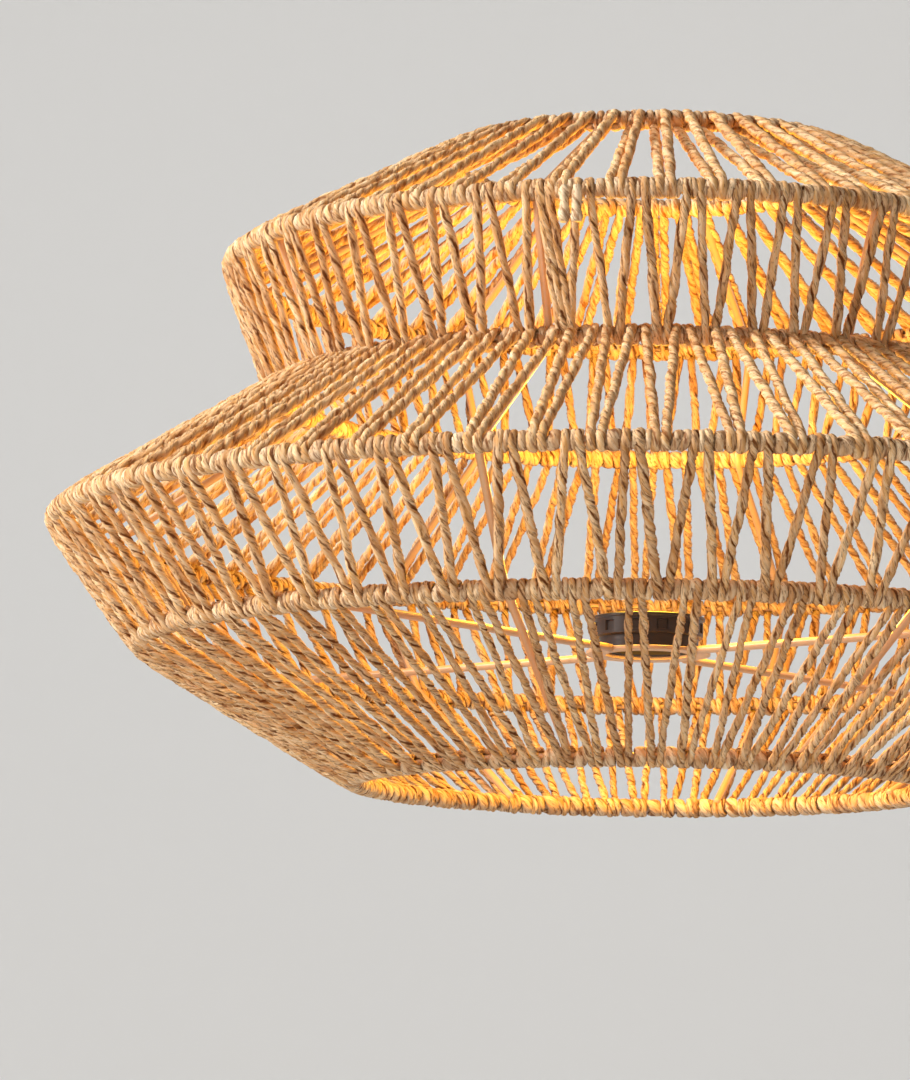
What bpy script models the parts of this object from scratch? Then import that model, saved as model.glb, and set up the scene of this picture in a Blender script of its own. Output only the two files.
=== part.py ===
"""Tiered lamp shade: a welded wire frame wound with twisted paper rope, and its shade ring.

Metres, +Z up. The shade stands on its bottom ring, so the origin is the middle of its underside.
Azimuths are measured about +Z from -Y (the front) towards +X.
"""
import bpy
from math import acos, ceil, cos, pi, radians, sin, tan
from mathutils import Vector

MM = 0.001

# ---- Driving dimensions, in millimetres and degrees --------------------------------------

# Wire rings: radius of each, measured to the middle of the wire
TOP_RING_R = 103.0
UPPER_RIM_R = 211.0
WAIST_R = 187.0
WIDEST_R = 296.0
LOWER_RIM_R = 253.0
BOTTOM_RING_R = 146.0

# Height of each tier, from ring to ring
CROWN_H = 57.0
UPPER_BAND_H = 64.0
SHOULDER_H = 67.0
WIDE_BAND_H = 60.0
LOWER_CONE_H = 65.0

WIRE_D = 4.0            # every wire of the frame
RIB_COUNT = 8
RIB_START = -15.0       # azimuth of the first rib
RIB_BEND_R = 4.0        # of the rib's middle line, where it bends inside a ring

ARM_COUNT = 4           # arms of the spider, midway between ribs
FITTER_BORE_D = 42.0    # clears an E27 lampholder
FITTER_RIM = 10.0       # width of the fitter's washer
FITTER_T = 2.0

ROPE_WALL = 2.3         # thickness of the rope pressed round a ring
TIER_T = 4.5            # thickness of a tier's winding
TAIL_D = 5.0            # the two cut ends of rope on the upper rim
TAIL_L = 17.0
TAIL_AZIMUTH = -9.9
TAIL_PITCH = 5.8        # between the two ends, along the rim

THREAD_CLEARANCE = 2.0  # the shade ring's bore inside the fitter's bore, across
SHADE_RING_SEAT = 4.0   # how far the ring's skirt stands on the fitter, all round
SHADE_RING_WALL = 2.3   # the grip band beyond the skirt
SHADE_RING_LIP = 0.95   # the flange beyond the grip band
SHADE_RING_SKIRT_H = 6.5
SHADE_RING_BAND_H = 8.5
SHADE_RING_FLANGE_H = 1.6
GRIP_COUNT = 12         # windows round the band, to turn the ring by
GRIP_W = 6.0
GRIP_H = 5.0
GRIP_DEPTH = 1.2

GAP = 0.3               # between pieces that touch
SEGMENTS = 32           # round a turned piece: a multiple of 8, so that ribs meet its corners
WIRE_SIDES = 6
ROPE_SIDES = 8
BEND_STEP = 100.0       # degrees turned by each pair of facets of a bend, at most

# ---- Sizes that follow ---------------------------------------------------------------------

WIRE_R = WIRE_D / 2
RIB_OFFSET = WIRE_D + GAP               # from a ring's wire to the rib welded inside it
RIB_TURN_R = RIB_OFFSET / cos(radians(BEND_STEP / 4))     # round a ring, so that the facets clear it
WRAP_INNER_R = WIRE_R + 1.3 * GAP
WRAP_R = WRAP_INNER_R + ROPE_WALL
BASE_Z = WRAP_R                         # the bottom ring's wire, above the table
FITTER_R = FITTER_BORE_D / 2 + FITTER_RIM
SHADE_RING_BORE_R = (FITTER_BORE_D - THREAD_CLEARANCE) / 2
SHADE_RING_SKIRT_R = FITTER_BORE_D / 2 + SHADE_RING_SEAT
SHADE_RING_BAND_R = SHADE_RING_SKIRT_R + SHADE_RING_WALL
SHADE_RING_FLANGE_R = SHADE_RING_BAND_R + SHADE_RING_LIP
FIRST_ARM = RIB_START - 180.0 / RIB_COUNT

RADII = [TOP_RING_R, UPPER_RIM_R, WAIST_R, WIDEST_R, LOWER_RIM_R, BOTTOM_RING_R]
TIER_HEIGHTS = [CROWN_H, UPPER_BAND_H, SHOULDER_H, WIDE_BAND_H, LOWER_CONE_H]
RING_NAMES = ["top", "upper_rim", "waist", "widest", "lower_rim", "bottom"]
TIER_NAMES = ["crown", "upper_band", "shoulder", "wide_band", "lower_cone"]
HEIGHTS = [BASE_Z + sum(TIER_HEIGHTS[index:]) for index in range(len(RADII))]
OUTLINE = [Vector((radius, height)) for radius, height in zip(RADII, HEIGHTS)]
ARM_Z = HEIGHTS[RING_NAMES.index("lower_rim")]


# ---- Materials -----------------------------------------------------------------------------

def material(name, colour, roughness, metallic=0.0):
    """A plain Principled material."""
    made = bpy.data.materials.new(name)
    made.use_nodes = True
    shader = made.node_tree.nodes["Principled BSDF"]
    shader.inputs["Base Color"].default_value = (*colour, 1.0)
    shader.inputs["Roughness"].default_value = roughness
    shader.inputs["Metallic"].default_value = metallic
    made.diffuse_color = (*colour, 1.0)
    return made


# ---- Mesh helpers --------------------------------------------------------------------------

def mesh_object(name, points, faces, look):
    """An object from points in millimetres and faces."""
    mesh = bpy.data.meshes.new(name)
    mesh.from_pydata([Vector(point) * MM for point in points], [], faces)
    mesh.materials.append(look)
    mesh.shade_smooth()
    mesh.set_sharp_from_angle(angle=radians(50))
    made = bpy.data.objects.new(name, mesh)
    bpy.context.collection.objects.link(made)
    return made


def at_azimuth(azimuth, radius, height):
    """The point at an azimuth in degrees, a radius and a height."""
    angle = radians(azimuth)
    return Vector((radius * sin(angle), -radius * cos(angle), height))


def turned(name, loops, look):
    """Turn closed (radius, height) loops about Z. A loop runs anticlockwise, or clockwise for a hollow."""
    points, faces = [], []
    for loop in loops:
        first, count = len(points), len(loop)
        for step in range(SEGMENTS):
            azimuth = RIB_START + 360.0 * step / SEGMENTS
            points += [at_azimuth(azimuth, *corner) for corner in loop]
        for step in range(SEGMENTS):
            here = first + step * count
            there = first + (step + 1) % SEGMENTS * count
            for corner in range(count):
                after = (corner + 1) % count
                faces.append((here + corner, there + corner, there + after, here + after))
    return mesh_object(name, points, faces, look)


def round_loop(centre, radius, sides, hollow=False):
    """A regular polygon round a centre, with a corner facing out and one facing in."""
    turns = [2 * pi * side / sides for side in range(sides)]
    loop = [centre + radius * Vector((cos(turn), sin(turn))) for turn in turns]
    return loop[::-1] if hollow else loop


def tube_parts(path, radius, sides, across):
    """Points and faces of a capped round bar along a flat path, whose plane is square to `across`."""
    points, faces = [], []
    for index, point in enumerate(path):
        along = path[min(index + 1, len(path) - 1)] - path[max(index - 1, 0)]
        outward = along.cross(across).normalized()
        for side in range(sides):
            turn = 2 * pi * side / sides
            points.append(point + radius * (cos(turn) * outward + sin(turn) * across))
    for index in range(len(path) - 1):
        for side in range(sides):
            here, after = index * sides + side, index * sides + (side + 1) % sides
            faces.append((here, here + sides, after + sides, after))
    last = (len(path) - 1) * sides
    faces.append(tuple(range(sides)))
    faces.append(tuple(last + side for side in reversed(range(sides))))
    return points, faces


def joined(name, parts, look):
    """One object from several closed bodies that stand apart."""
    points, faces = [], []
    for part_points, part_faces in parts:
        first = len(points)
        points += part_points
        faces += [tuple(first + corner for corner in face) for face in part_faces]
    return mesh_object(name, points, faces, look)


def cutter(made):
    """Mark an object as a cutting body, which isn't part of the shade."""
    made.hide_render = True
    made.display_type = "WIRE"
    return made


def cut(target, tool):
    """Cut a tool's shape out of a target."""
    modifier = target.modifiers.new("cut_" + tool.name, "BOOLEAN")
    modifier.operation = "DIFFERENCE"
    modifier.solver = "EXACT"
    modifier.object = tool


# ---- The outline: legs between rings, and the ribs' bends inside them ------------------------

def corner_of(index):
    """At a ring between two tiers: the bisector, half the angle between them, and if it bulges out."""
    centre = OUTLINE[index]
    up = (OUTLINE[index - 1] - centre).normalized()
    down = (OUTLINE[index + 1] - centre).normalized()
    half = acos(max(-1.0, min(1.0, up.dot(down)))) / 2
    return (up + down).normalized(), half, up.x * down.y - up.y * down.x > 0


def rib_corner(index):
    """Where a rib's straight runs would meet inside a ring, and the radius of its bend there."""
    bisector, half, bulges = corner_of(index)
    if bulges:
        reach = RIB_OFFSET - RIB_BEND_R * (1 / sin(half) - 1)
        return OUTLINE[index] + reach * bisector, RIB_BEND_R
    return OUTLINE[index] - RIB_TURN_R / sin(half) * bisector, RIB_TURN_R


def outward_of(tier):
    """A tier's direction down its slope, and the direction square to it that faces out."""
    slope = (OUTLINE[tier + 1] - OUTLINE[tier]).normalized()
    return slope, Vector((-slope.y, slope.x))


def bend(before, corner, after, radius):
    """Points along the arc of a given radius that rounds a corner."""
    back = (before - corner).normalized()
    on = (after - corner).normalized()
    half = acos(back.dot(on)) / 2
    centre = corner + radius / sin(half) * (back + on).normalized()
    start = corner + radius / tan(half) * back - centre
    finish = corner + radius / tan(half) * on - centre
    sweep = start.angle(finish)
    steps = 2 * ceil(sweep / radians(BEND_STEP))
    points = []
    for step in range(steps + 1):
        share = step / steps
        points.append(centre + (sin((1 - share) * sweep) * start + sin(share * sweep) * finish) / sin(sweep))
    return points


def rib_path(over):
    """A rib's middle line as (radius, height) points, from over the top ring to under the bottom ring."""
    first_slope, first_out = outward_of(0)
    last_slope, last_out = outward_of(len(TIER_NAMES) - 1)
    top = OUTLINE[0] - RIB_OFFSET * first_out - over * first_slope
    bottom = OUTLINE[-1] - RIB_OFFSET * last_out + over * last_slope
    corners = [rib_corner(index) for index in range(1, len(OUTLINE) - 1)]
    stops = [top] + [place for place, radius in corners] + [bottom]
    path = [top]
    for index, (place, radius) in enumerate(corners, start=1):
        path += bend(stops[index - 1], place, stops[index + 1], radius)
    return path + [bottom]


def rib_parts(azimuth, radius):
    """A rib's body at an azimuth, or the body that cuts room for it if the radius is larger."""
    path = [at_azimuth(azimuth, *point) for point in rib_path(radius)]
    angle = radians(azimuth)
    return tube_parts(path, radius, WIRE_SIDES, Vector((cos(angle), sin(angle), 0.0)))


def arm_parts(azimuth, start_r, end_r, radius):
    """A straight, level spider arm's body."""
    path = [at_azimuth(azimuth, start_r, ARM_Z), at_azimuth(azimuth, end_r, ARM_Z)]
    angle = radians(azimuth)
    return tube_parts(path, radius, ROPE_SIDES, Vector((cos(angle), sin(angle), 0.0)))


# ---- The pieces ------------------------------------------------------------------------------

def rib_azimuths():
    return [RIB_START + 360.0 * index / RIB_COUNT for index in range(RIB_COUNT)]


def arm_azimuths():
    return [FIRST_ARM + 360.0 * index / ARM_COUNT for index in range(ARM_COUNT)]


def make_rings(paint):
    """The six wire rings."""
    for name, centre in zip(RING_NAMES, OUTLINE):
        turned(name + "_ring", [round_loop(centre, WIRE_R, WIRE_SIDES)], paint)


def make_ribs(paint):
    """The bent ribs, welded inside every ring."""
    for number, azimuth in enumerate(rib_azimuths(), start=1):
        joined("rib_%d" % number, [rib_parts(azimuth, WIRE_R)], paint)


def make_spider(paint):
    """The fitter washer that the lampholder goes through, and its arms to the lower rim."""
    bore, half = FITTER_BORE_D / 2, FITTER_T / 2
    washer = [(bore, ARM_Z - half), (FITTER_R, ARM_Z - half), (FITTER_R, ARM_Z + half), (bore, ARM_Z + half)]
    turned("fitter_ring", [washer], paint)
    end_r = LOWER_RIM_R - WIRE_R - WIRE_R * tan(pi / SEGMENTS) - GAP
    for number, azimuth in enumerate(arm_azimuths(), start=1):
        joined("spider_arm_%d" % number, [arm_parts(azimuth, FITTER_R + GAP, end_r, WIRE_R)], paint)


def make_bindings(rope):
    """The rope wrapped round each ring, open where the ribs and the spider's arms are welded on."""
    clear_r = WIRE_R + 3 * GAP
    ribs = cutter(joined("rib_cutter", [rib_parts(azimuth, clear_r) for azimuth in rib_azimuths()], rope))
    reach = (LOWER_RIM_R - 2 * WRAP_R, LOWER_RIM_R)
    arms = cutter(joined("arm_cutter", [arm_parts(azimuth, *reach, clear_r)
                                        for azimuth in arm_azimuths()], rope))
    for name, centre in zip(RING_NAMES, OUTLINE):
        outside = round_loop(centre, WRAP_R, ROPE_SIDES)
        inside = round_loop(centre, WRAP_INNER_R, WIRE_SIDES, hollow=True)
        binding = turned(name + "_binding", [outside, inside], rope)
        cut(binding, ribs)
        if name == "lower_rim":
            cut(binding, arms)


def tier_inner_offset(tier):
    """How far outside the line between its two rings a winding starts, so that it clears the ribs."""
    slope, outward = outward_of(tier)
    offsets = [0.0]
    for index in (tier, tier + 1):
        if 0 < index < len(OUTLINE) - 1:
            offsets.append((rib_corner(index)[0] - OUTLINE[index]).dot(outward) + WIRE_R)
    return max(offsets) + GAP


def tier_end(index, offset):
    """How far from a ring a winding's face stops, to clear the ring's binding and the tier it folds to."""
    clear = WRAP_R + 1.5 * GAP
    if 0 < index < len(OUTLINE) - 1:
        bisector, half, bulges = corner_of(index)
        if not bulges:
            clear = max(clear, (offset + GAP) / tan(half) + GAP)
    return clear


def make_tiers(rope):
    """The five windings, each a conical shell between two rings."""
    for tier, name in enumerate(TIER_NAMES):
        slope, outward = outward_of(tier)
        inner = tier_inner_offset(tier)
        outer = inner + TIER_T
        ends = [(OUTLINE[tier] + tier_end(tier, offset) * slope + offset * outward,
                 OUTLINE[tier + 1] - tier_end(tier + 1, offset) * slope + offset * outward)
                for offset in (inner, outer)]
        section = [ends[0][0], ends[0][1], ends[1][1], ends[1][0]]
        turned(name + "_winding", [section], rope)


def make_tails(rope):
    """The winding's two cut ends, hanging side by side in front of the upper rim."""
    rim = OUTLINE[RING_NAMES.index("upper_rim")]
    radius = rim.x + WRAP_R + GAP + TAIL_D / 2
    spread = TAIL_PITCH / radius * 180.0 / pi
    for number, side in enumerate((-0.5, 0.5), start=1):
        azimuth = TAIL_AZIMUTH + side * spread
        path = [at_azimuth(azimuth, radius, rim.y), at_azimuth(azimuth, radius, rim.y - TAIL_L)]
        angle = radians(azimuth)
        body = tube_parts(path, TAIL_D / 2, ROPE_SIDES, Vector((cos(angle), sin(angle), 0.0)))
        joined("rope_tail_%d" % number, [body], rope)


def make_shade_ring(phenolic):
    """The threaded ring that clamps the fitter to the lampholder, with grip windows round its band."""
    bore, skirt, band, flange = SHADE_RING_BORE_R, SHADE_RING_SKIRT_R, SHADE_RING_BAND_R, SHADE_RING_FLANGE_R
    low = ARM_Z + FITTER_T / 2 + GAP
    shoulder = low + SHADE_RING_SKIRT_H
    neck = shoulder + SHADE_RING_BAND_H
    top = neck + SHADE_RING_FLANGE_H
    section = [(bore, low), (skirt, low), (skirt, shoulder), (band, shoulder),
               (band, neck), (flange, neck), (flange, top), (bore, top)]
    ring = turned("shade_ring", [section], phenolic)
    middle = (shoulder + neck) / 2
    parts = []
    for index in range(GRIP_COUNT):
        azimuth = RIB_START + 360.0 * index / GRIP_COUNT
        parts.append(grip_parts(azimuth, band, middle))
    cut(ring, cutter(joined("grip_cutter", parts, phenolic)))


def grip_parts(azimuth, band, middle):
    """A box that sinks one grip window into the band."""
    angle = radians(azimuth)
    across = Vector((cos(angle), sin(angle), 0.0)) * GRIP_W / 2
    rise = Vector((0.0, 0.0, GRIP_H / 2))
    inner = at_azimuth(azimuth, band - GRIP_DEPTH, middle)
    outer = at_azimuth(azimuth, band + GRIP_DEPTH, middle)
    points = [face + side * across + level * rise
              for face in (inner, outer) for side, level in ((-1, -1), (1, -1), (1, 1), (-1, 1))]
    faces = [(3, 2, 1, 0), (4, 5, 6, 7), (0, 1, 5, 4), (1, 2, 6, 5), (2, 3, 7, 6), (3, 0, 4, 7)]
    return points, faces


def main():
    for old in list(bpy.data.objects):
        bpy.data.objects.remove(old, do_unlink=True)
    paint = material("cream_paint", (0.78, 0.66, 0.52), 0.45)
    rope = material("paper_rope", (0.62, 0.43, 0.25), 0.85)
    phenolic = material("dark_phenolic", (0.035, 0.03, 0.03), 0.4)
    make_rings(paint)
    make_ribs(paint)
    make_spider(paint)
    make_bindings(rope)
    make_tiers(rope)
    make_tails(rope)
    make_shade_ring(phenolic)


main()
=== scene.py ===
"""The looks of the tiered rope lamp shade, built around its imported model. Metres, +Z up.

Azimuths are measured about +Z from -Y (the front) towards +X, in radians.
"""

from math import acos, atan2, ceil, cos, pi, radians, sin, sqrt, tan

import bpy
import numpy as np
from mathutils import Matrix, Vector


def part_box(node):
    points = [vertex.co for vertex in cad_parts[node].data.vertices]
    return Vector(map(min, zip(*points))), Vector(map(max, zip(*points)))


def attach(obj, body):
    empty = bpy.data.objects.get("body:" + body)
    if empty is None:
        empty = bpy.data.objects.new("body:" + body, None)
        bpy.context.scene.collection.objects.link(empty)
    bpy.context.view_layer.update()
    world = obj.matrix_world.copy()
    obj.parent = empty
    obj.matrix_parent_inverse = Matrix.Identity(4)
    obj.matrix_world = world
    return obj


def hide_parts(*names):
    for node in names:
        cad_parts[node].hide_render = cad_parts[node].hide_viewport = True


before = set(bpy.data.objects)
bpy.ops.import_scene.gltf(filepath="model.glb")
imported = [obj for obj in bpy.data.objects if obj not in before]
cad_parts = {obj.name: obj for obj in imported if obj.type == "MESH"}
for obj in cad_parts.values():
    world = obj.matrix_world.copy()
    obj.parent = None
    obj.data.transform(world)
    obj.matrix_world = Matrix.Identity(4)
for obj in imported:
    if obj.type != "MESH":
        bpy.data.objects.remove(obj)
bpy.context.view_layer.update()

MM = 0.001
BODY = "shade"

# ---- The frame's own sizes -----------------------------------------------------------------

RING_NAMES = ["top", "upper_rim", "waist", "widest", "lower_rim", "bottom"]


def node_points(name):
    """A CAD node's vertices, as an array."""
    return np.array([vertex.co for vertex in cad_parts[name].data.vertices])


def ring_size(name):
    """A wire ring's radius to the middle of its wire, and its height."""
    points = node_points(name + "_ring")
    reach = np.hypot(points[:, 0], points[:, 1])
    return (reach.max() + reach.min()) / 2, (points[:, 2].max() + points[:, 2].min()) / 2


def azimuth_of(name):
    """The azimuth of a CAD node's middle."""
    middle = node_points(name).mean(axis=0)
    return atan2(middle[0], -middle[1])


OUTLINE = {name: ring_size(name) for name in RING_NAMES}
RIBS = [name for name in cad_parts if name.startswith("rib_")]
ARMS = [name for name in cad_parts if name.startswith("spider_arm_")]
FIRST_RIB = azimuth_of("rib_1")
LOW_ARM, HIGH_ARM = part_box("spider_arm_1")
WIRE_R = (HIGH_ARM.z - LOW_ARM.z) / 2
RIB_GAP = 0.3 * MM                      # between a rib and a ring, where the weld is
RIB_INSET = 2 * WIRE_R + RIB_GAP        # from the middle of a ring's wire to that of a rib's
RIB_BEND_R = 4.0 * MM                   # of a rib's bends inside a corner
RIB_TURN_R = RIB_INSET / cos(radians(25))   # of a rib's bend round a ring

# ---- Rope ------------------------------------------------------------------------------------

ROPE_R = 2.45 * MM          # of a free strand
PLY_STEPS = (-20, 20, 58, 90, 122, 160, 200, 238, 270, 302)    # degrees round a strand; creases at 90 and 270
STEP = 2.4 * MM             # between a strand's sections
LOOP_T = 3.5 * MM           # thickness of a strand pressed round a ring
WRAP_T = 2.9 * MM           # thickness of the wraps between strands
WRAP_W = 4.9 * MM           # width of one wrap
LOOP_STEPS = 9              # sections round a strand's loop over a ring
WRAP_SECTIONS = 14          # sections round a wrap
TWIST_HAND = 1              # S lay
LOOP_ARC = (3.6, 4.6)       # least and most radians that a strand goes round a ring
CROWN_ARC = 1.2             # radians that the crown strands inside the top ring go round it
LOOP_DRIFT = 0.7            # share of a strand's lean that it keeps round a ring
TAPER = 9 * MM              # from a loop to where a strand is round and free
WANDER, WANDER_WAVE = 0.35 * MM, 45 * MM    # of a free strand, sideways
BOB, BOB_WAVE = 0.3 * MM, 38 * MM           # of a free strand, in and out
SWELL, SWELL_WAVE = 0.06, 25 * MM           # of a strand's girth, as a share of it
SLACK, SLACK_WAVE = 1.3, 50 * MM            # of the plies' twist, in radians
PAIR_SCATTER, FOOT_SCATTER = 0.07, 0.05     # of the pairs' upper and lower ends, as shares of the pitch

# Each winding: its two rings, the length of one full turn of the plies in millimetres, the strands' girth as
# a share of ROPE_R, how many pairs of strands, the gaps in a pair at its upper and lower ring in millimetres,
# whether the strands zigzag, and how far the pairs are turned, as a share of their pitch
TIERS = {
    "crown": dict(rings=("top", "upper_rim"), twist=24, girth=1.1, pairs=55,
                  upper_gap=5.2, lower_gap=5.0, zigzag=False, turn=0.0),
    "upper_band": dict(rings=("upper_rim", "waist"), twist=28, girth=0.98, pairs=55,
                       upper_gap=6.0, lower_gap=4.2, zigzag=True, turn=0.5),
    "shoulder": dict(rings=("waist", "widest"), twist=20, girth=1.03, pairs=66,
                     upper_gap=6.0, lower_gap=4.6, zigzag=True, turn=0.0),
    "wide_band": dict(rings=("widest", "lower_rim"), twist=23, girth=1.04, pairs=66,
                      upper_gap=6.2, lower_gap=4.0, zigzag=True, turn=0.0),
    "lower_cone": dict(rings=("lower_rim", "bottom"), twist=20, girth=0.89, pairs=66,
                       upper_gap=5.6, lower_gap=3.2, zigzag=True, turn=0.0),
}

# Strands laid beside the others, as azimuths in degrees at the upper and the lower ring
DOUBLED = {"upper_band": np.array([(-14.0, -11.9), (-12.9, -10.9)])}


def ply_radius(turn):
    """A two-ply rope's outline, as a share of its radius, at an angle from one ply's crown."""
    offset = 0.23
    return offset * np.abs(np.cos(turn)) + np.sqrt((1 - offset) ** 2 - (offset * np.sin(turn)) ** 2)


def azimuth_points(azimuth, radius, height):
    """Points at azimuths, radii and heights, as an array whose last axis is x, y, z."""
    azimuth, radius, height = np.broadcast_arrays(azimuth, radius, height)
    return np.stack([radius * np.sin(azimuth), -radius * np.cos(azimuth), height], axis=-1)


def unit(vectors):
    """Vectors shrunk or grown to length 1."""
    return vectors / np.linalg.norm(vectors, axis=-1, keepdims=True)


def ease(share):
    """A share from 0 to 1, made to start and end gently."""
    return share * share * (3 - 2 * share)


# ---- Mesh ------------------------------------------------------------------------------------

def grid_mesh(name, points, closed, lengths, seeds, degrees=PLY_STEPS):
    """A mesh of strands from points[strand, section, round]: tubes with end caps, or closed loops.

    degrees are the places of a section's points round it. The "rope" map holds each strand's number plus the
    length along it in metres (v) and the share round it (u), and "OFBake" lays every strand out in a cell of
    its own, inside a margin.
    """
    strands, sections, sides = points.shape[:3]
    spans = sections if closed else sections - 1
    strand, span, side = np.meshgrid(np.arange(strands), np.arange(spans), np.arange(sides), indexing="ij")
    following, beside = (span + 1) % sections, (side + 1) % sides

    def vertex(section, around):
        return (strand * sections + section) * sides + around

    quads = np.stack([vertex(span, side), vertex(following, side), vertex(following, beside),
                      vertex(span, beside)], axis=-1).reshape(-1, 4)
    share = np.array(degrees) / 360.0
    after = np.append(share[1:], share[0] + 1.0)
    u = np.stack([share[side], share[side], after[side], after[side]], axis=-1).reshape(-1)
    along = np.concatenate([lengths, lengths[:, -1:] + STEP], axis=1)
    low, high = along[strand, span], along[strand, span + 1]
    v = (np.stack([low, high, high, low], axis=-1) + seeds[strand][..., None]).reshape(-1)
    columns, rows = cell_counts(strands, lengths[:, -1].mean())
    column, row = strand % columns, strand // columns
    across = np.stack([side, side, side + 1, side + 1], axis=-1) / sides
    down = np.stack([span, span + 1, span + 1, span], axis=-1) / spans
    bake_u = (column[..., None] + 0.04 + 0.92 * across) / columns
    bake_v = (row[..., None] + 0.02 + 0.96 * down) / rows
    loops = quads.reshape(-1)
    starts = np.arange(len(quads)) * 4
    if not closed:
        caps = np.stack([np.arange(strands) * sections * sides,
                         (np.arange(strands) * sections + sections - 1) * sides])
        ring = np.arange(sides)
        front = (caps[0][:, None] + ring).reshape(-1)
        back = (caps[1][:, None] + ring[::-1]).reshape(-1)
        loops = np.concatenate([loops, front, back])
        starts = np.append(starts, len(quads) * 4 + np.arange(2 * strands) * sides)
        u = np.append(u, np.tile(share, 2 * strands))
        v = np.append(v, np.repeat(np.append(seeds, seeds), sides))
        corner = np.tile(0.5 + 0.3 * np.cos(2 * pi * ring / sides), 2 * strands)
        cell = np.tile(np.arange(strands), 2).repeat(sides)
        bake_u = np.append(bake_u, (cell % columns + corner) / columns)
        bake_v = np.append(bake_v, (cell // columns + 0.001 + 0.01 * corner) / rows)
    mesh = bpy.data.meshes.new(name)
    mesh.vertices.add(points.size // 3)
    mesh.vertices.foreach_set("co", points.astype(np.float32).reshape(-1))
    mesh.loops.add(len(loops))
    mesh.loops.foreach_set("vertex_index", loops.astype(np.int32))
    mesh.polygons.add(len(starts))
    mesh.polygons.foreach_set("loop_start", starts.astype(np.int32))
    mesh.update(calc_edges=True)
    for label, pair in (("rope", (u, v)), ("OFBake", (bake_u.reshape(-1), bake_v.reshape(-1)))):
        layer = mesh.uv_layers.new(name=label)
        layer.data.foreach_set("uv", np.stack(pair, axis=-1).astype(np.float32).reshape(-1))
    mesh.shade_smooth()
    return mesh


def cell_counts(strands, length):
    """Columns and rows of cells that give strands about square texels."""
    rows = max(1, round(sqrt(strands * 2 * pi * ROPE_R / length)))
    return ceil(strands / rows), rows


def add_piece(name, mesh, material, slot, *nodes, body=BODY):
    """An object that rides on a body, stands for CAD nodes and takes a finish."""
    piece = bpy.data.objects.new(name, mesh)
    bpy.context.scene.collection.objects.link(piece)
    mesh.materials.clear()
    mesh.materials.append(material)
    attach(piece, body)
    if nodes:
        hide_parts(*nodes)
    return piece


# ---- Strands ---------------------------------------------------------------------------------

def slope_of(upper, lower):
    """The direction down a winding's slope and the outward one square to it, as (radius, height)."""
    slope = np.array(OUTLINE[lower]) - np.array(OUTLINE[upper])
    slope = slope / np.linalg.norm(slope)
    return slope, np.array([-slope[1], slope[0]])


def loop_points(ring, azimuth, slope, outward, away, arc, side, drift):
    """Points and outward directions of strands looped over a ring.

    arc is the angles from the strand's tangent point, away is -1 at the upper ring and 1 at the lower one.
    """
    radius, height = OUTLINE[ring]
    reach = WIRE_R + LOOP_T / 2
    facing = (side * np.cos(arc))[..., None] * outward + away * np.sin(arc)[..., None] * slope
    place = np.array([radius, height]) + reach * facing
    turn = azimuth[:, None] + drift[:, None] * np.sin(np.minimum(arc, pi / 2)) * reach / radius
    points = azimuth_points(turn, place[..., 0], place[..., 1])
    normals = azimuth_points(turn, facing[..., 0], np.zeros_like(turn))
    normals[..., 2] = facing[..., 1]
    return points, normals


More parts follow.
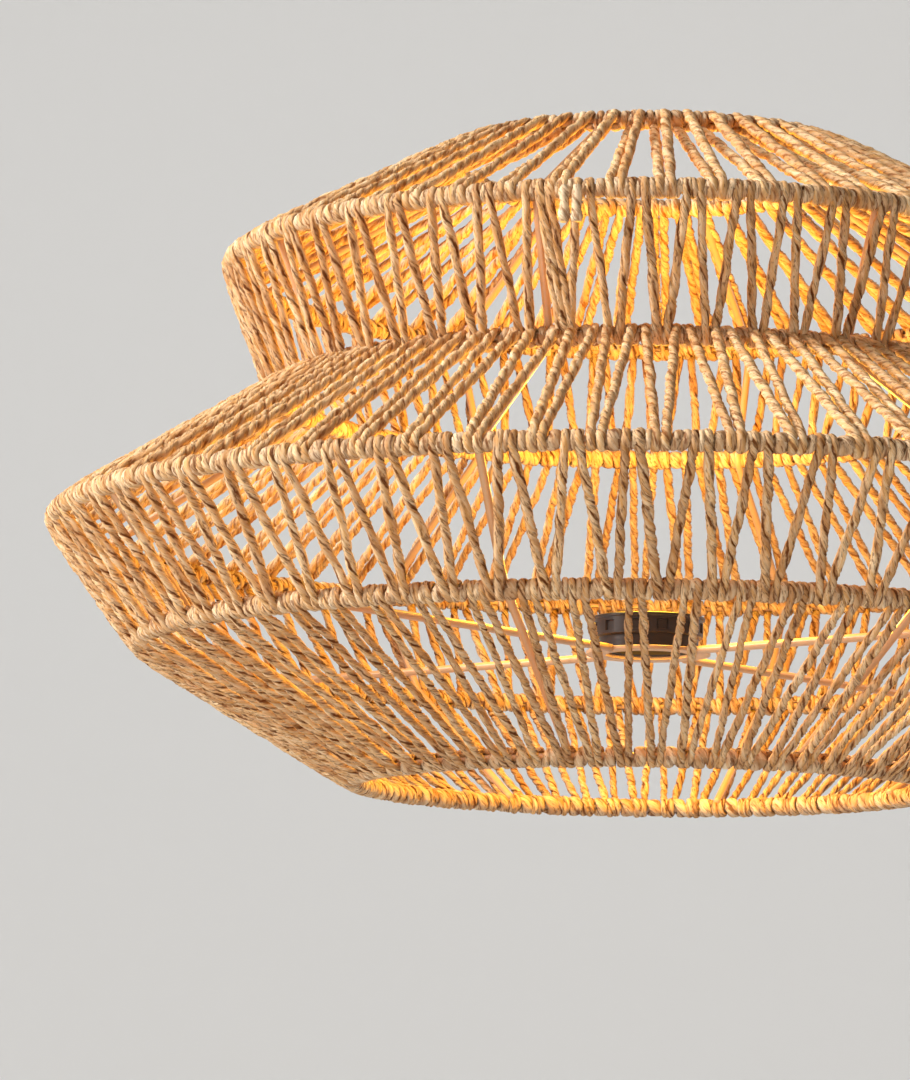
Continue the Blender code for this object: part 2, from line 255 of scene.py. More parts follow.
def strand_mesh(name, tier, upper, lower, upper_side, lower_side, upper_arc, lower_arc, radius, rng):
    """Twisted strands from loops over an upper ring to loops over a lower one, at paired azimuths."""
    count, rings = len(upper), tier["rings"]
    slope, outward = slope_of(*rings)
    length = np.linalg.norm(np.array(OUTLINE[rings[1]]) - np.array(OUTLINE[rings[0]]))
    lean = (lower - upper) * (OUTLINE[rings[0]][0] + OUTLINE[rings[1]][0]) / 2 / length
    zero = np.zeros(count)
    fall = np.linspace(1, 0, LOOP_STEPS)
    start_arc, end_arc = upper_arc[:, None] * fall, lower_arc[:, None] * fall[::-1]
    first, first_normal = loop_points(rings[0], upper, slope, outward, -1, start_arc, upper_side[:, None],
                                      -LOOP_DRIFT * lean)
    last, last_normal = loop_points(rings[1], lower, slope, outward, 1, end_arc, lower_side[:, None],
                                    LOOP_DRIFT * lean)
    sections = ceil(length / STEP)
    share = (np.arange(1, sections) / sections)[None, :, None]
    run = first[:, -1:] * (1 - share) + last[:, :1] * share
    base = unit(azimuth_points(upper * 0.5 + lower * 0.5, outward[0], zero) + [0, 0, outward[1]])
    along = unit(last[:, 0] - first[:, -1])
    lateral = unit(np.cross(along, base))
    swing = (1 - ease(share[..., 0])) * np.where(upper_side > 0, 0, pi)[:, None]
    swing = swing + ease(share[..., 0]) * np.where(lower_side > 0, 0, pi)[:, None]
    run_normal = np.cos(swing)[..., None] * base[:, None] + np.sin(swing)[..., None] * lateral[:, None]
    path = np.concatenate([first, run, last], axis=1)
    normal = np.concatenate([first_normal, run_normal, last_normal], axis=1)
    total = path.shape[1]
    distance = np.linalg.norm(np.diff(path, axis=1), axis=2)
    lengths = np.concatenate([np.zeros((count, 1)), np.cumsum(distance, axis=1)], axis=1)
    free = np.zeros(total)
    free[LOOP_STEPS:total - LOOP_STEPS] = np.clip(
        np.minimum(np.arange(1, sections), np.arange(sections - 1, 0, -1)) * STEP / TAPER, 0, 1)
    free = ease(free)
    tangent = unit(np.gradient(path, axis=1))
    normal = unit(normal - (normal * tangent).sum(axis=2, keepdims=True) * tangent)
    side = np.cross(tangent, normal)
    wander = slow_noise(rng, count, lengths, WANDER, WANDER_WAVE) * free
    bob = slow_noise(rng, count, lengths, BOB, BOB_WAVE) * free
    path = path + wander[..., None] * side + bob[..., None] * normal
    girth = radius[:, None] * (1 + slow_noise(rng, count, lengths, SWELL, SWELL_WAVE))
    pressed = LOOP_T / 2 / ROPE_R
    flat = pressed + (1 - pressed) * free
    points = ply_sections(path, side, normal, girth, flat[None, :], lengths, tier["twist"] * MM, rng)
    seeds = rng.permutation(count).astype(float)
    return grid_mesh(name, points, False, lengths, seeds)


def slow_noise(rng, count, lengths, size, wave):
    """A smooth random value along each strand."""
    total = np.zeros_like(lengths)
    for octave in (1.0, 1.9, 3.3):
        phase = rng.uniform(0, 2 * pi, (count, 1))
        stretch = rng.uniform(0.8, 1.25, (count, 1))
        total += np.sin(2 * pi * lengths * octave * stretch / wave + phase) / octave
    return size * total / 1.8


def ply_sections(path, side, normal, girth, flat, lengths, pitch, rng):
    """Cross-sections of a twisted two-ply rope along paths: points[strand, section, round, xyz]."""
    count = path.shape[0]
    around = np.radians(PLY_STEPS)[None, None, :]
    start = rng.uniform(0, 2 * pi, (count, 1))
    pitch = pitch * rng.uniform(0.8, 1.3, (count, 1))
    slack = slow_noise(rng, count, lengths, SLACK, SLACK_WAVE)
    twist = start + TWIST_HAND * 2 * pi * lengths / pitch + slack
    reach = girth[..., None] * ply_radius(around)
    turn = around + twist[..., None]
    x, y = reach * np.cos(turn), reach * np.sin(turn) * flat[..., None]
    return path[:, :, None] + x[..., None] * side[:, :, None] + y[..., None] * normal[:, :, None]


def tier_azimuths(tier, rng):
    """The azimuths of each pair's left and right strand, at a winding's upper and then its lower ring."""
    upper_r, lower_r = OUTLINE[tier["rings"][0]][0], OUTLINE[tier["rings"][1]][0]
    pitch = 2 * pi / tier["pairs"]
    middle = FIRST_RIB + (np.arange(tier["pairs"]) + 0.5 + tier["turn"]) * pitch
    middle = middle + rng.uniform(-PAIR_SCATTER, PAIR_SCATTER, tier["pairs"]) * pitch
    foot = middle + pitch / 2 if tier["zigzag"] else middle
    foot = foot + rng.uniform(-FOOT_SCATTER, FOOT_SCATTER, tier["pairs"]) * pitch
    half_upper = tier["upper_gap"] * MM / 2 / upper_r
    half_lower = tier["lower_gap"] * MM / 2 / lower_r
    left_upper, right_upper = middle - half_upper, middle + half_upper
    if not tier["zigzag"]:
        return left_upper, right_upper, foot - half_lower, foot + half_lower
    before = np.roll(foot, 1)
    before[0] -= 2 * pi
    return left_upper, right_upper, before + half_lower, foot - half_lower


def make_tier(name, rope, rng):
    """One winding's strands. Returns the azimuths that its loops take up on its upper and lower ring."""
    tier = TIERS[name]
    left_upper, right_upper, left_lower, right_lower = tier_azimuths(tier, rng)
    extra = np.radians(DOUBLED.get(name, np.zeros((0, 2))))
    upper = np.concatenate([left_upper, right_upper, extra[:, 0]])
    lower = np.concatenate([left_lower, right_lower, extra[:, 1]])
    count = len(upper)
    upper_side = np.ones(count)
    upper_arc = rng.uniform(*LOOP_ARC, count)
    if name == "crown":
        upper_side[:count // 2] = -1
        upper_arc[:count // 2] = CROWN_ARC
    radius = ROPE_R * tier["girth"] * rng.uniform(0.93, 1.1, count)
    mesh = strand_mesh(name + "_strands", tier, upper, lower, upper_side, np.ones(count), upper_arc,
                       rng.uniform(*LOOP_ARC, count), radius, rng)
    add_piece(name + "_strands", mesh, rope, "rope", name + "_winding")
    return {tier["rings"][0]: upper[upper_side > 0], tier["rings"][1]: lower}


TAIL_TWIST = 21 * MM        # length of one full turn of the cut ends' plies
TAIL_GIRTHS = np.array([2.1, 2.7, 2.9, 2.7, 2.6, 2.8, 3.0, 3.2, 2.8]) * MM     # from the top down
TAIL_NUMBER = 40.0          # the strand number that gives the cut ends their tone


def make_tails(rope, rng):
    """The rope's two cut ends, which hang in front of the upper rim."""
    for name in ("rope_tail_1", "rope_tail_2"):
        low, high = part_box(name)
        middle = (low + high) / 2
        sections = len(TAIL_GIRTHS)
        share = np.linspace(0, 1, sections)[None, :, None]
        top, foot = np.array((middle.x, middle.y, high.z)), np.array((middle.x, middle.y, low.z))
        path = top * (1 - share) + foot * share
        azimuth = atan2(middle.x, -middle.y)
        normal = np.broadcast_to([sin(azimuth), -cos(azimuth), 0.0], path.shape)
        side = np.broadcast_to([-cos(azimuth), -sin(azimuth), 0.0], path.shape)
        lengths = (share[..., 0] * (high.z - low.z)) + np.zeros((1, sections))
        flat = np.ones((1, sections))
        points = ply_sections(path, side, normal, TAIL_GIRTHS[None], flat, lengths, TAIL_TWIST, rng)
        mesh = grid_mesh(name + "_rope", points, False, lengths, np.array([TAIL_NUMBER]))
        add_piece(name + "_rope", mesh, rope, "rope", name)


# ---- Wraps round the rings -------------------------------------------------------------------

LOOP_HALF = 0.85 * ROPE_R   # from the middle of a loop to the edge of the wrap beside it
LEAST_GAP = 0.8 * MM        # that takes a wrap
LEAST_WRAP_W = 3.4 * MM
WRAP_OVERLAP = 0.35 * MM    # of a wrap past its own width, on each side
WRAP_TILT, TILT_SPREAD = 0.9, 0.35      # sideways shift of a wrap in millimetres, and its spread
TILT_PHASE = 0.6            # radians that the shift runs ahead of the turn round the wire


def free_slots(taken, radius):
    """Azimuths and widths of the wraps that fill what the strands' loops leave of a ring."""
    taken = np.sort(np.mod(np.concatenate(taken), 2 * pi))
    gaps = np.diff(np.append(taken, taken[0] + 2 * pi)) * radius - 2 * LOOP_HALF
    places, widths = [], []
    for start, gap in zip(taken, gaps):
        count = max(int(gap / WRAP_W + 0.5), 1 if gap > LEAST_GAP else 0)
        for index in range(count):
            places.append(start + (LOOP_HALF + gap * (index + 0.5) / count) / radius)
            widths.append(max(gap / count, LEAST_WRAP_W))
    return np.array(places), np.array(widths)


def make_wraps(name, taken, rope, rng):
    """The rope wrapped round one ring, one closed turn for each wrap."""
    radius, height = OUTLINE[name]
    azimuth, width = free_slots(taken, radius)
    count = len(azimuth)
    turn = np.linspace(0, 2 * pi, WRAP_SECTIONS, endpoint=False)[None, :]
    reach = (WIRE_R + WRAP_T / 2) * rng.uniform(0.97, 1.1, (count, 1))
    tilt = rng.normal(WRAP_TILT, TILT_SPREAD, (count, 1)) * MM
    shift = tilt * np.sin(turn + TILT_PHASE)
    here = azimuth[:, None] + shift / radius
    path = azimuth_points(here, radius + reach * np.cos(turn), height + reach * np.sin(turn))
    normal = azimuth_points(here, np.cos(turn), 0.0) + np.stack(
        [0 * here, 0 * here, np.sin(turn) + 0 * here], axis=-1)
    tangent = unit(np.roll(path, -1, axis=1) - np.roll(path, 1, axis=1))
    side = np.cross(tangent, normal)
    lengths = np.broadcast_to(turn * (WIRE_R + WRAP_T / 2), (count, WRAP_SECTIONS)).copy()
    girth = np.broadcast_to(width[:, None] * 0.5 + WRAP_OVERLAP, (count, WRAP_SECTIONS))
    flat = (WRAP_T / 2 * rng.uniform(0.95, 1.2, (count, 1))) / girth
    around = np.radians(PLY_STEPS)[None, None, :]
    lay = rng.uniform(0, 2 * pi, (count, 1, 1)) + TWIST_HAND * turn[..., None]
    spread = girth[..., None] * ply_radius(around)
    x = spread * np.cos(around + lay)
    y = spread * np.sin(around + lay) * flat[..., None]
    points = path[:, :, None] + x[..., None] * side[:, :, None] + y[..., None] * normal[:, :, None]
    mesh = grid_mesh(name + "_wraps", points, True, lengths, rng.permutation(count).astype(float))
    add_piece(name + "_wraps", mesh, rope, "rope_wraps", name + "_binding")


# ---- Wires, fitter and shade ring ------------------------------------------------------------

WIRE_SIDES = 12
RING_SECTIONS = 180
BEND_POINTS = 9             # along one of a rib's bends
RIB_STEP, ARM_STEP = 2 * MM, 4 * MM     # between a wire's sections
ARM_SEAT = 1 * MM           # of an arm's inner end in the washer
CHAMFER = 0.3 * MM
WASHER_SECTIONS = 96
FLANGE_LIP = 0.95 * MM      # the threaded ring's flange past its band
FLANGE_T = 1.6 * MM
SKIRT_STEP = 2.3 * MM       # the band past the skirt
SKIRT_H = 6.5 * MM
WINDOWS = 12                # round the band
WINDOW_W, WINDOW_H, WINDOW_DEPTH = 6 * MM, 5 * MM, 1.2 * MM
WINDOW_EDGE = 0.2 * MM      # height of a window's sloping sill and head
WINDOW_SIDE = 0.02          # radians that a window's sloping side takes up
BAND_STEPS = 6              # points of the band from one window to the next


def wire_mesh(name, path, tangent, side, closed):
    """A round wire along a path, from the path's direction and a direction square to it."""
    normal = np.cross(side, tangent)
    degrees = np.arange(WIRE_SIDES) * 360.0 / WIRE_SIDES
    turn = np.radians(degrees)[:, None]
    points = path[:, None] + WIRE_R * (np.cos(turn) * side[:, None] + np.sin(turn) * normal[:, None])
    lengths = np.append(0, np.cumsum(np.linalg.norm(np.diff(path, axis=0), axis=1)))
    return grid_mesh(name, points[None], closed, lengths[None], np.zeros(1), degrees)


def resampled(line, step):
    """Points at even steps along a line."""
    reach = np.append(0, np.cumsum(np.linalg.norm(np.diff(line, axis=0), axis=1)))
    stops = np.linspace(0, reach[-1], ceil(reach[-1] / step) + 1)
    return np.stack([np.interp(stops, reach, line[:, axis]) for axis in range(line.shape[1])], axis=-1)


def rib_line():
    """A rib's middle line inside the rings, as (radius, height) points."""
    rings = np.array([OUTLINE[name] for name in RING_NAMES])
    first, last = unit(rings[1] - rings[0]), unit(rings[-1] - rings[-2])
    stops = [rings[0] + RIB_INSET * np.array([first[1], -first[0]]) - WIRE_R * first]
    bends = []
    for before, ring, after in zip(rings, rings[1:], rings[2:]):
        up, down = unit(before - ring), unit(after - ring)
        half = acos(up @ down) / 2
        if up[0] * down[1] > up[1] * down[0]:
            bends.append(RIB_BEND_R)
            stops.append(ring + (RIB_INSET - RIB_BEND_R * (1 / sin(half) - 1)) * unit(up + down))
        else:
            bends.append(RIB_TURN_R)
            stops.append(ring - RIB_TURN_R / sin(half) * unit(up + down))
    stops.append(rings[-1] + RIB_INSET * np.array([last[1], -last[0]]) + WIRE_R * last)
    line = [stops[0]]
    for before, corner, after, bend in zip(stops, stops[1:], stops[2:], bends):
        back, on = unit(before - corner), unit(after - corner)
        half = acos(back @ on) / 2
        centre = corner + bend / sin(half) * unit(back + on)
        start, finish = corner + bend / tan(half) * back - centre, corner + bend / tan(half) * on - centre
        for share in np.linspace(0, 1, BEND_POINTS):
            line.append(centre + bend * unit((1 - share) * start + share * finish))
    return resampled(np.array(line + [stops[-1]]), RIB_STEP)


def make_wires(paint):
    """The six rings, the ribs welded inside them and the spider's arms, as smooth round wires."""
    turns = np.linspace(0, 2 * pi, RING_SECTIONS, endpoint=False)
    for name in RING_NAMES:
        path = azimuth_points(turns, *OUTLINE[name])
        tangent = np.stack([np.cos(turns), np.sin(turns), 0 * turns], axis=-1)
        side = np.broadcast_to([0.0, 0.0, -1.0], path.shape)
        add_piece(name + "_wire", wire_mesh(name + "_wire", path, tangent, side, True), paint, "wire_paint",
                  name + "_ring")
    line = rib_line()
    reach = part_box("fitter_ring")[1].x
    radius, height = OUTLINE["lower_rim"]
    arm = resampled(np.array([(reach - ARM_SEAT, height), (radius - WIRE_R, height)]), ARM_STEP)
    for name, shape in [(name, line) for name in RIBS] + [(name, arm) for name in ARMS]:
        azimuth = azimuth_of(name)
        path = azimuth_points(azimuth, shape[:, 0], shape[:, 1])
        side = np.broadcast_to([cos(azimuth), sin(azimuth), 0.0], path.shape)
        mesh = wire_mesh(name + "_wire", path, unit(np.gradient(path, axis=0)), side, False)
        add_piece(name + "_wire", mesh, paint, "wire_paint", name)


def chamfered(outline, size):
    """An outline with its corners cut off."""
    outline = np.array(outline)
    before, after = unit(np.roll(outline, 1, axis=0) - outline), unit(np.roll(outline, -1, axis=0) - outline)
    return np.stack([outline + size * before, outline + size * after], axis=1).reshape(-1, 2)


def turned_mesh(name, outline, turns):
    """A turned piece from an anticlockwise (radius, height) outline, one for all azimuths or one for each."""
    points = azimuth_points(turns[:, None], outline[..., 0], outline[..., 1])[None]
    lengths = turns[None] * points[..., 0].max()
    mesh = grid_mesh(name, points, True, lengths, np.zeros(1), np.linspace(0, 340, points.shape[2]))
    mesh.set_sharp_from_angle(angle=radians(30))
    return mesh


def make_fitter(paint):
    """The flat washer that the lampholder goes through."""
    low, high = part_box("fitter_ring")
    edge = np.hypot(*node_points("fitter_ring")[:, :2].T)
    outline = [(edge.min(), low.z), (edge.max(), low.z), (edge.max(), high.z), (edge.min(), high.z)]
    turns = np.linspace(0, 2 * pi, WASHER_SECTIONS, endpoint=False)
    mesh = turned_mesh("fitter_washer", chamfered(outline, CHAMFER), turns)
    add_piece("fitter_washer", mesh, paint, "wire_paint", "fitter_ring")


def make_shade_ring(phenolic):
    """The threaded ring: a skirt, a band with grip windows sunk in it, and a flange."""
    low, high = (corner.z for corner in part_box("shade_ring"))
    reach = np.hypot(*node_points("shade_ring")[:, :2].T)
    bore, flange = reach.min(), reach.max()
    band = flange - FLANGE_LIP
    skirt, shoulder, neck = band - SKIRT_STEP, low + SKIRT_H, high - FLANGE_T
    outline = chamfered([(bore, low), (skirt, low), (skirt, shoulder), (band, shoulder), (band, neck),
                         (flange, neck), (flange, high), (bore, high)], CHAMFER)
    sill, head = (shoulder + neck - WINDOW_H) / 2, (shoulder + neck + WINDOW_H) / 2
    window = np.array([(band, sill), (band, sill + WINDOW_EDGE), (band, head - WINDOW_EDGE), (band, head)])
    below_window = 8            # points of the outline that come before the window's
    outline = np.insert(outline, below_window, window, axis=0)
    half = WINDOW_W / 2 / band
    pitch = 2 * pi / WINDOWS
    template = np.append([-half, WINDOW_SIDE - half, -half / 2, 0, half / 2, half - WINDOW_SIDE, half],
                         np.linspace(half, pitch - half, BAND_STEPS)[1:-1])
    turns = (FIRST_RIB + np.arange(WINDOWS)[:, None] * pitch + template).reshape(-1)
    outlines = np.repeat(outline[None], len(turns), axis=0)
    inside = np.tile(np.abs(template) < half - WINDOW_SIDE / 2, WINDOWS)
    outlines[inside, below_window + 1:below_window + 3, 0] -= WINDOW_DEPTH
    mesh = turned_mesh("threaded_ring", outlines, turns)
    add_piece("threaded_ring", mesh, phenolic, "phenolic", "shade_ring", body="shade_ring")


# ---- Materials -------------------------------------------------------------------------------

FIBRE_LEAN = 140.0          # radians of turn for each metre along a strand


class Nodes:
    """A short way to add and join the nodes of one material."""

    def __init__(self, name):
        self.material = bpy.data.materials.new(name)
        self.material.use_nodes = True
        self.tree = self.material.node_tree
        self.shader = self.tree.nodes["Principled BSDF"]

    def add(self, kind, settings=None, **inputs):
        node = self.tree.nodes.new(kind)
        for key, value in (settings or {}).items():
            setattr(node, key, value)
        for key, value in inputs.items():
            self.feed(node, key.replace("_", " "), value)
        return node

    def feed(self, node, key, value):
        socket = node.inputs[int(key)] if key.isdigit() else node.inputs[key]
        if isinstance(value, bpy.types.NodeSocket):
            self.tree.links.new(value, socket)
        else:
            socket.default_value = value

    def maths(self, operation, *values, clamp=False):
        node = self.tree.nodes.new("ShaderNodeMath")
        node.operation, node.use_clamp = operation, clamp
        for index, value in enumerate(values):
            self.feed(node, str(index), value)
        return node.outputs[0]

    def mix(self, share, first, second, blend="MIX"):
        node = self.add("ShaderNodeMix", {"data_type": "RGBA", "blend_type": blend})
        for index, value in ((0, share), (6, first), (7, second)):
            self.feed(node, str(index), value)
        return node.outputs[2]

    def noise(self, vector, scale, detail=3.0, roughness=0.55):
        node = self.add("ShaderNodeTexNoise", Vector=vector, Scale=scale, Detail=detail, Roughness=roughness)
        return node.outputs["Fac"]

    def ramp(self, value, low, high):
        """0 below low, 1 above high and smooth between them."""
        node = self.add("ShaderNodeMapRange", {"interpolation_type": "SMOOTHSTEP"})
        for index, entry in enumerate((value, low, high, 0.0, 1.0)):
            self.feed(node, str(index), entry)
        return node.outputs[0]


def srgb(red, green, blue):
    """A linear colour from 0-255 display values."""
    def linear(value):
        value /= 255
        return value / 12.92 if value <= 0.04045 else ((value + 0.055) / 1.055) ** 2.4
    return (linear(red), linear(green), linear(blue), 1.0)


def rope_material(name, crease_shade_colour, dark, middle, light, crease_shade_strength):
    """Twisted paper rope: fibres along the plies, painted shade in broken creases and flecks between them,
    and a tone per strand.
    """
    nodes = Nodes(name)
    rope_map = nodes.add("ShaderNodeUVMap", {"uv_map": "rope"}).outputs[0]
    place = nodes.add("ShaderNodeSeparateXYZ", Vector=rope_map)
    around, along = place.outputs[0], place.outputs[1]
    number = nodes.maths("FLOOR", along)
    length = nodes.maths("FRACT", along)
    tone = nodes.add("ShaderNodeTexWhiteNoise", {"noise_dimensions": "1D"}, W=number).outputs["Value"]
    turn = nodes.maths("MULTIPLY", around, 2 * pi)
    slant = nodes.maths("SUBTRACT", turn, nodes.maths("MULTIPLY", length, FIBRE_LEAN))

    def fibre(angle, thin, stretch):
        """A point that runs round the strand and, shrunk, along it."""
        shifted = nodes.maths("ADD", nodes.maths("MULTIPLY", length, stretch),
                              nodes.maths("MULTIPLY", number, 3.7))
        across = nodes.maths("MULTIPLY", nodes.maths("COSINE", angle), thin)
        outward = nodes.maths("MULTIPLY", nodes.maths("SINE", angle), thin)
        return nodes.add("ShaderNodeCombineXYZ", X=across, Y=outward, Z=shifted).outputs[0]

    ragged = nodes.maths("SUBTRACT", nodes.noise(fibre(turn, 0.6, 230.0), 1.0, 3.0), 0.5)
    ragged = nodes.maths("MULTIPLY", ragged, 1.6)
    fine = nodes.noise(fibre(slant, 2.6, 55.0), 3.0, 4.0, 0.7)
    broad = nodes.noise(fibre(turn, 0.8, 70.0), 1.6, 2.0)
    slow = nodes.noise(fibre(turn, 0.3, 22.0), 1.0, 1.0)
    crown = nodes.maths("ABSOLUTE", nodes.maths("COSINE", nodes.maths("ADD", turn, ragged)))
    crown = nodes.maths("ADD", crown, nodes.maths("MULTIPLY", nodes.maths("SUBTRACT", broad, 0.5), 0.9))
    patch = nodes.ramp(nodes.noise(fibre(turn, 0.5, 130.0), 1.0, 2.0), 0.38, 0.6)
    # Painted shade: the grooves between the plies darkened, in broken patches
    crease_shade = nodes.maths("MULTIPLY", nodes.maths("SUBTRACT", 1.0, nodes.ramp(crown, 0.08, 0.58)),
                         nodes.maths("ADD", nodes.maths("MULTIPLY", patch, 0.8), 0.2))
    # Painted shade: small dark flecks where the grooves show through the fibres
    fleck_shade = nodes.ramp(nodes.noise(fibre(turn, 1.4, 170.0), 1.9, 2.0, 0.5), 0.57, 0.64)
    shade = nodes.maths("ADD", nodes.maths("MULTIPLY", fine, 0.55), nodes.maths("MULTIPLY", broad, 0.45))
    colour = nodes.mix(nodes.ramp(shade, 0.38, 0.62), middle, light)
    colour = nodes.mix(nodes.maths("MULTIPLY", nodes.ramp(slow, 0.48, 0.72), 0.5), colour, dark)
    colour = nodes.mix(nodes.maths("MULTIPLY", tone, 0.38), colour, dark)
    second_ply = nodes.ramp(nodes.maths("COSINE", turn), -0.2, 0.2)
    colour = nodes.mix(nodes.maths("MULTIPLY", second_ply, 0.16), colour, dark)
    # The crease colour goes into the flecks and grooves as painted shade
    colour = nodes.mix(nodes.maths("MULTIPLY", fleck_shade, 0.62), colour, crease_shade_colour)
    colour = nodes.mix(nodes.maths("MULTIPLY", crease_shade, crease_shade_strength), colour, crease_shade_colour)
    nodes.feed(nodes.shader, "Base Color", colour)
    nodes.feed(nodes.shader, "Roughness", nodes.maths("ADD", nodes.maths("MULTIPLY", fine, 0.3), 0.55))
    nodes.shader.inputs["Specular IOR Level"].default_value = 0.1
    hollow = nodes.maths("MAXIMUM", crease_shade, fleck_shade)
    relief = nodes.maths("SUBTRACT", nodes.maths("MULTIPLY", fine, 0.9), nodes.maths("MULTIPLY", hollow, 0.7))
    bump = nodes.add("ShaderNodeBump", Strength=0.6, Distance=0.0007, Height=relief)
    nodes.feed(nodes.shader, "Normal", bump.outputs[0])
    return nodes.material


def paint_material():
    """Cream satin paint on steel wire, a little uneven and worn thin in places."""
    nodes = Nodes("cream_wire_paint")
    point = nodes.add("ShaderNodeTexCoord").outputs["Object"]
    worn = nodes.ramp(nodes.noise(point, 60.0, 4.0, 0.6), 0.62, 0.72)
    tint = nodes.mix(nodes.noise(point, 18.0, 2.0), srgb(190, 148, 110), srgb(212, 174, 134))
    nodes.feed(nodes.shader, "Base Color",
               nodes.mix(nodes.maths("MULTIPLY", worn, 0.35), tint, srgb(150, 115, 88)))
    nodes.feed(nodes.shader, "Roughness", nodes.maths("ADD", nodes.maths("MULTIPLY", worn, 0.2), 0.34))
    bump = nodes.add("ShaderNodeBump", Strength=0.15, Distance=0.0003, Height=nodes.noise(point, 320.0, 3.0))
    nodes.feed(nodes.shader, "Normal", bump.outputs[0])
    return nodes.material


def phenolic_material():
    """Dark moulded phenolic, satin, with faint scuffs."""
    nodes = Nodes("dark_phenolic")
    point = nodes.add("ShaderNodeTexCoord").outputs["Object"]
    scuff = nodes.ramp(nodes.noise(point, 140.0, 5.0, 0.7), 0.55, 0.72)
    nodes.feed(nodes.shader, "Base Color",
               nodes.mix(nodes.maths("MULTIPLY", scuff, 0.5), srgb(44, 37, 36), srgb(74, 64, 62)))
    nodes.feed(nodes.shader, "Roughness", nodes.maths("ADD", nodes.maths("MULTIPLY", scuff, 0.25), 0.28))
    bump = nodes.add("ShaderNodeBump", Strength=0.1, Distance=0.0002, Height=nodes.noise(point, 700.0, 2.0))
    nodes.feed(nodes.shader, "Normal", bump.outputs[0])
    return nodes.material


# ---- The stage -------------------------------------------------------------------------------

CAMERA_DISTANCE = 2.306     # from the shade's axis
CAMERA_DROP = 0.1998        # below the bottom ring's wire
CAMERA_YAW = -0.0421
CAMERA_PITCH = 0.1382
CAMERA_ROLL = 0.0156
LENS = 155.2                # millimetres, on a 36 mm long side
FLOOR_Z = -0.95
WALL_R, WALL_TOP, COVE_R = 7.5, 4.5, 2.0
STUDIO_SIDES, COVE_STEPS = 96, 12
SHADE_MIDDLE = (0.0, 0.0, 0.16)     # where the lights aim
BULB_Z = 0.15               # middle of the lit bulb, above the underside


def make_camera():
    """A long lens from a little below the shade, panned so that the shade stands right of the middle."""
    ahead = Vector((sin(CAMERA_YAW), cos(CAMERA_YAW), 0.0))
    right = Vector((cos(CAMERA_YAW), -sin(CAMERA_YAW), 0.0))
    up = Vector((0.0, 0.0, 1.0))
    forward = ahead * cos(CAMERA_PITCH) + up * sin(CAMERA_PITCH)
    upward = up * cos(CAMERA_PITCH) - ahead * sin(CAMERA_PITCH)
    x_axis = right * cos(CAMERA_ROLL) + upward * sin(CAMERA_ROLL)
    y_axis = upward * cos(CAMERA_ROLL) - right * sin(CAMERA_ROLL)
    place = Vector((0.0, -CAMERA_DISTANCE, OUTLINE["bottom"][1] - CAMERA_DROP))
    data = bpy.data.cameras.new("camera")
    data.lens, data.sensor_width = LENS, 36.0
    camera = bpy.data.objects.new("camera", data)
    turn = Matrix((x_axis, y_axis, -forward)).transposed().to_4x4()
    camera.matrix_world = Matrix.Translation(place) @ turn
    bpy.context.scene.collection.objects.link(camera)
    bpy.context.scene.camera = camera


def area_light(name, place, aim, size, power, colour):
    """A round soft light at a place, turned to face its aim."""
    data = bpy.data.lights.new(name, "AREA")
    data.shape, data.size, data.energy, data.color = "DISK", size, power, colour
    lamp = bpy.data.objects.new(name, data)
    lamp.location = place
    lamp.rotation_euler = (Vector(aim) - Vector(place)).to_track_quat("-Z", "Y").to_euler()
    bpy.context.scene.collection.objects.link(lamp)
    return lamp


def make_lights():
    """Soft daylight from the upper left, weaker lights round it, and the warm glow of a lit bulb."""
    area_light("key", (-3.0, -0.9, 1.45), SHADE_MIDDLE, 0.9, 164.0, (1.0, 0.97, 0.93))
    area_light("top", (-1.3, -0.6, 2.5), SHADE_MIDDLE, 1.4, 28.0, (1.0, 0.97, 0.92))
    area_light("under", (-0.4, -1.4, -0.75), SHADE_MIDDLE, 1.6, 15.0, (1.0, 0.9, 0.8))
    area_light("side_wash", (-2.5, 0.6, 3.0), (-7.5, 0.6, 0.6), 2.0, 90.0, (0.94, 0.975, 1.0))
    area_light("rim", (2.6, 2.3, 1.3), SHADE_MIDDLE, 1.4, 34.0, (1.0, 0.98, 0.95))
    area_light("backdrop_wash", (-0.8, 1.5, 2.8), (0.0, 7.5, 0.4), 2.0, 147.0, (0.94, 0.975, 1.0))
    glow = bpy.data.lights.new("bulb_glow", "POINT")
    glow.energy, glow.color, glow.shadow_soft_size = 4.4, (1.0, 0.57, 0.04), 0.045
    lamp = bpy.data.objects.new("bulb_glow", glow)
    lamp.location = (0.0, 0.0, BULB_Z)
    bpy.context.scene.collection.objects.link(lamp)


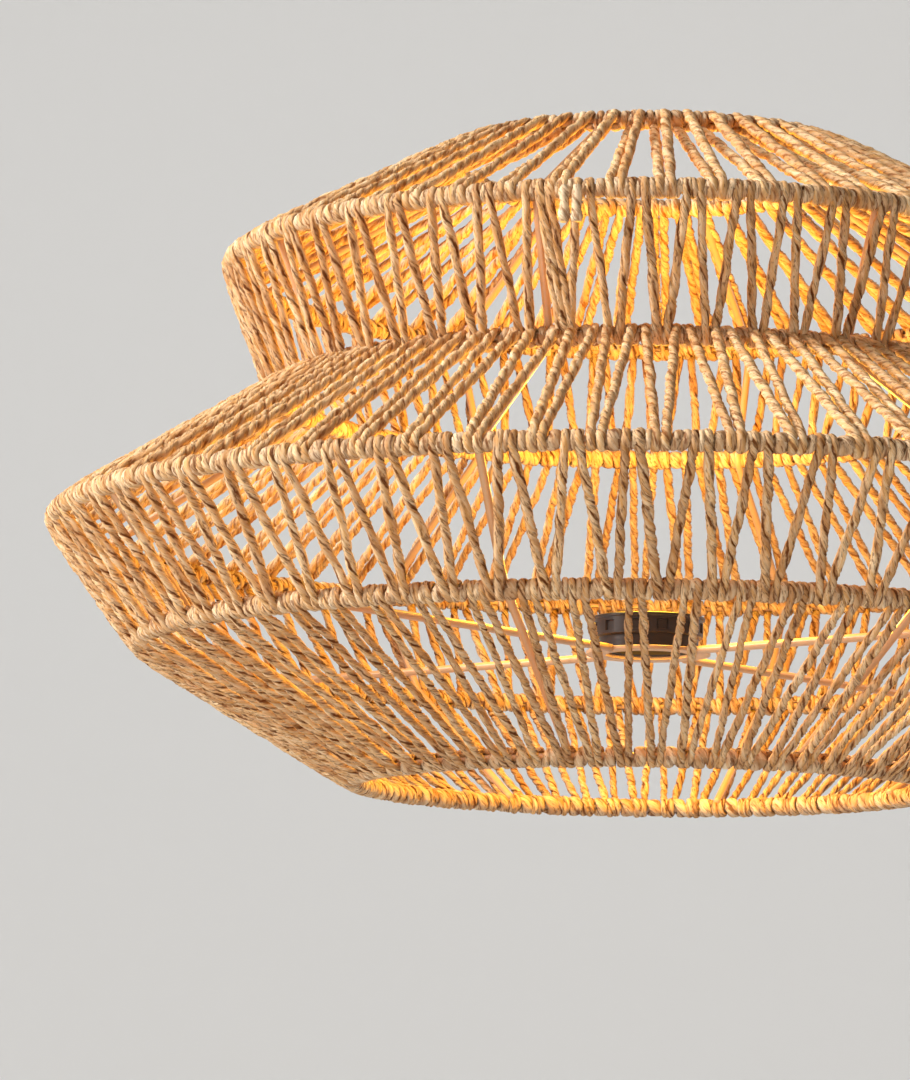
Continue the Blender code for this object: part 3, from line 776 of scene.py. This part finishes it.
def make_stage():
    """A pale round studio, floor and wall in one sweep, under an even pale sky."""
    profile = [(0.0, FLOOR_Z)]
    for step in range(COVE_STEPS + 1):
        angle = radians(90 * step / COVE_STEPS)
        profile.append((WALL_R - COVE_R + COVE_R * sin(angle), FLOOR_Z + COVE_R - COVE_R * cos(angle)))
    profile.append((WALL_R, WALL_TOP))
    turns = np.linspace(0, 2 * pi, STUDIO_SIDES, endpoint=False)
    radius, height = np.array(profile).T
    points = azimuth_points(turns[:, None], radius, height).reshape(-1, 3)
    rows = len(profile)
    faces = []
    for turn in range(STUDIO_SIDES):
        here, there = turn * rows, (turn + 1) % STUDIO_SIDES * rows
        faces += [(here + row, there + row, there + row + 1, here + row + 1) for row in range(1, rows - 1)]
        faces.append((here, there + 1, here + 1))
    mesh = bpy.data.meshes.new("studio")
    mesh.from_pydata(points.tolist(), [], faces)
    mesh.shade_smooth()
    studio = bpy.data.objects.new("studio", mesh)
    bpy.context.scene.collection.objects.link(studio)
    nodes = Nodes("pale_studio")
    point = nodes.add("ShaderNodeTexCoord").outputs["Object"]
    rise = nodes.ramp(nodes.add("ShaderNodeSeparateXYZ", Vector=point).outputs[2], FLOOR_Z, FLOOR_Z + 0.9)
    nodes.feed(nodes.shader, "Base Color", nodes.mix(rise, srgb(186, 186, 186), srgb(222, 222, 222)))
    nodes.shader.inputs["Roughness"].default_value = 0.9
    mesh.materials.append(nodes.material)
    world = bpy.data.worlds.new("pale_sky")
    world.use_nodes = True
    world.node_tree.nodes["Background"].inputs["Color"].default_value = (1.0, 0.86, 0.7, 1.0)
    world.node_tree.nodes["Background"].inputs["Strength"].default_value = 0.31
    bpy.context.scene.world = world
    bpy.context.scene.view_settings.view_transform = "Standard"


# ---- Putting it together ---------------------------------------------------------------------

def main():
    """Every piece, the camera, the lights and the stage."""
    # Each rope's first colour is the painted shade in its creases and flecks, and its last number sets how
    # strong that painted shade is
    strand_rope = rope_material("paper_rope", srgb(92, 42, 8), srgb(164, 100, 42), srgb(224, 170, 104),
                                srgb(246, 220, 182), 0.95)
    # A lighter copy of the rope for the crown and shoulder, which face up: painted light, with lighter dark
    # tones and shallower painted crease shade
    lit_rope = rope_material("paper_rope_lit_above", srgb(128, 66, 20), srgb(176, 114, 54), srgb(228, 178, 114),
                              srgb(246, 222, 184), 0.75)
    wrap_rope = rope_material("paper_rope_wraps", srgb(106, 54, 16), srgb(160, 104, 52), srgb(220, 178, 130),
                              srgb(248, 228, 196), 0.85)
    cut_rope = rope_material("paper_rope_ends", srgb(140, 92, 52), srgb(190, 146, 98), srgb(236, 206, 166),
                             srgb(250, 232, 204), 0.7)
    paint, phenolic = paint_material(), phenolic_material()
    rng = np.random.default_rng(7)
    taken = {name: [] for name in RING_NAMES}
    for name in TIERS:
        # The upward-facing windings take the lighter copy, as painted light
        rope = lit_rope if name in ("crown", "shoulder") else strand_rope
        for ring, azimuths in make_tier(name, rope, rng).items():
            taken[ring].append(azimuths)
    for name in RING_NAMES:
        make_wraps(name, taken[name], wrap_rope, rng)
    make_tails(cut_rope, rng)
    make_wires(paint)
    make_fitter(paint)
    make_shade_ring(phenolic)
    make_camera()
    make_lights()
    make_stage()


main()
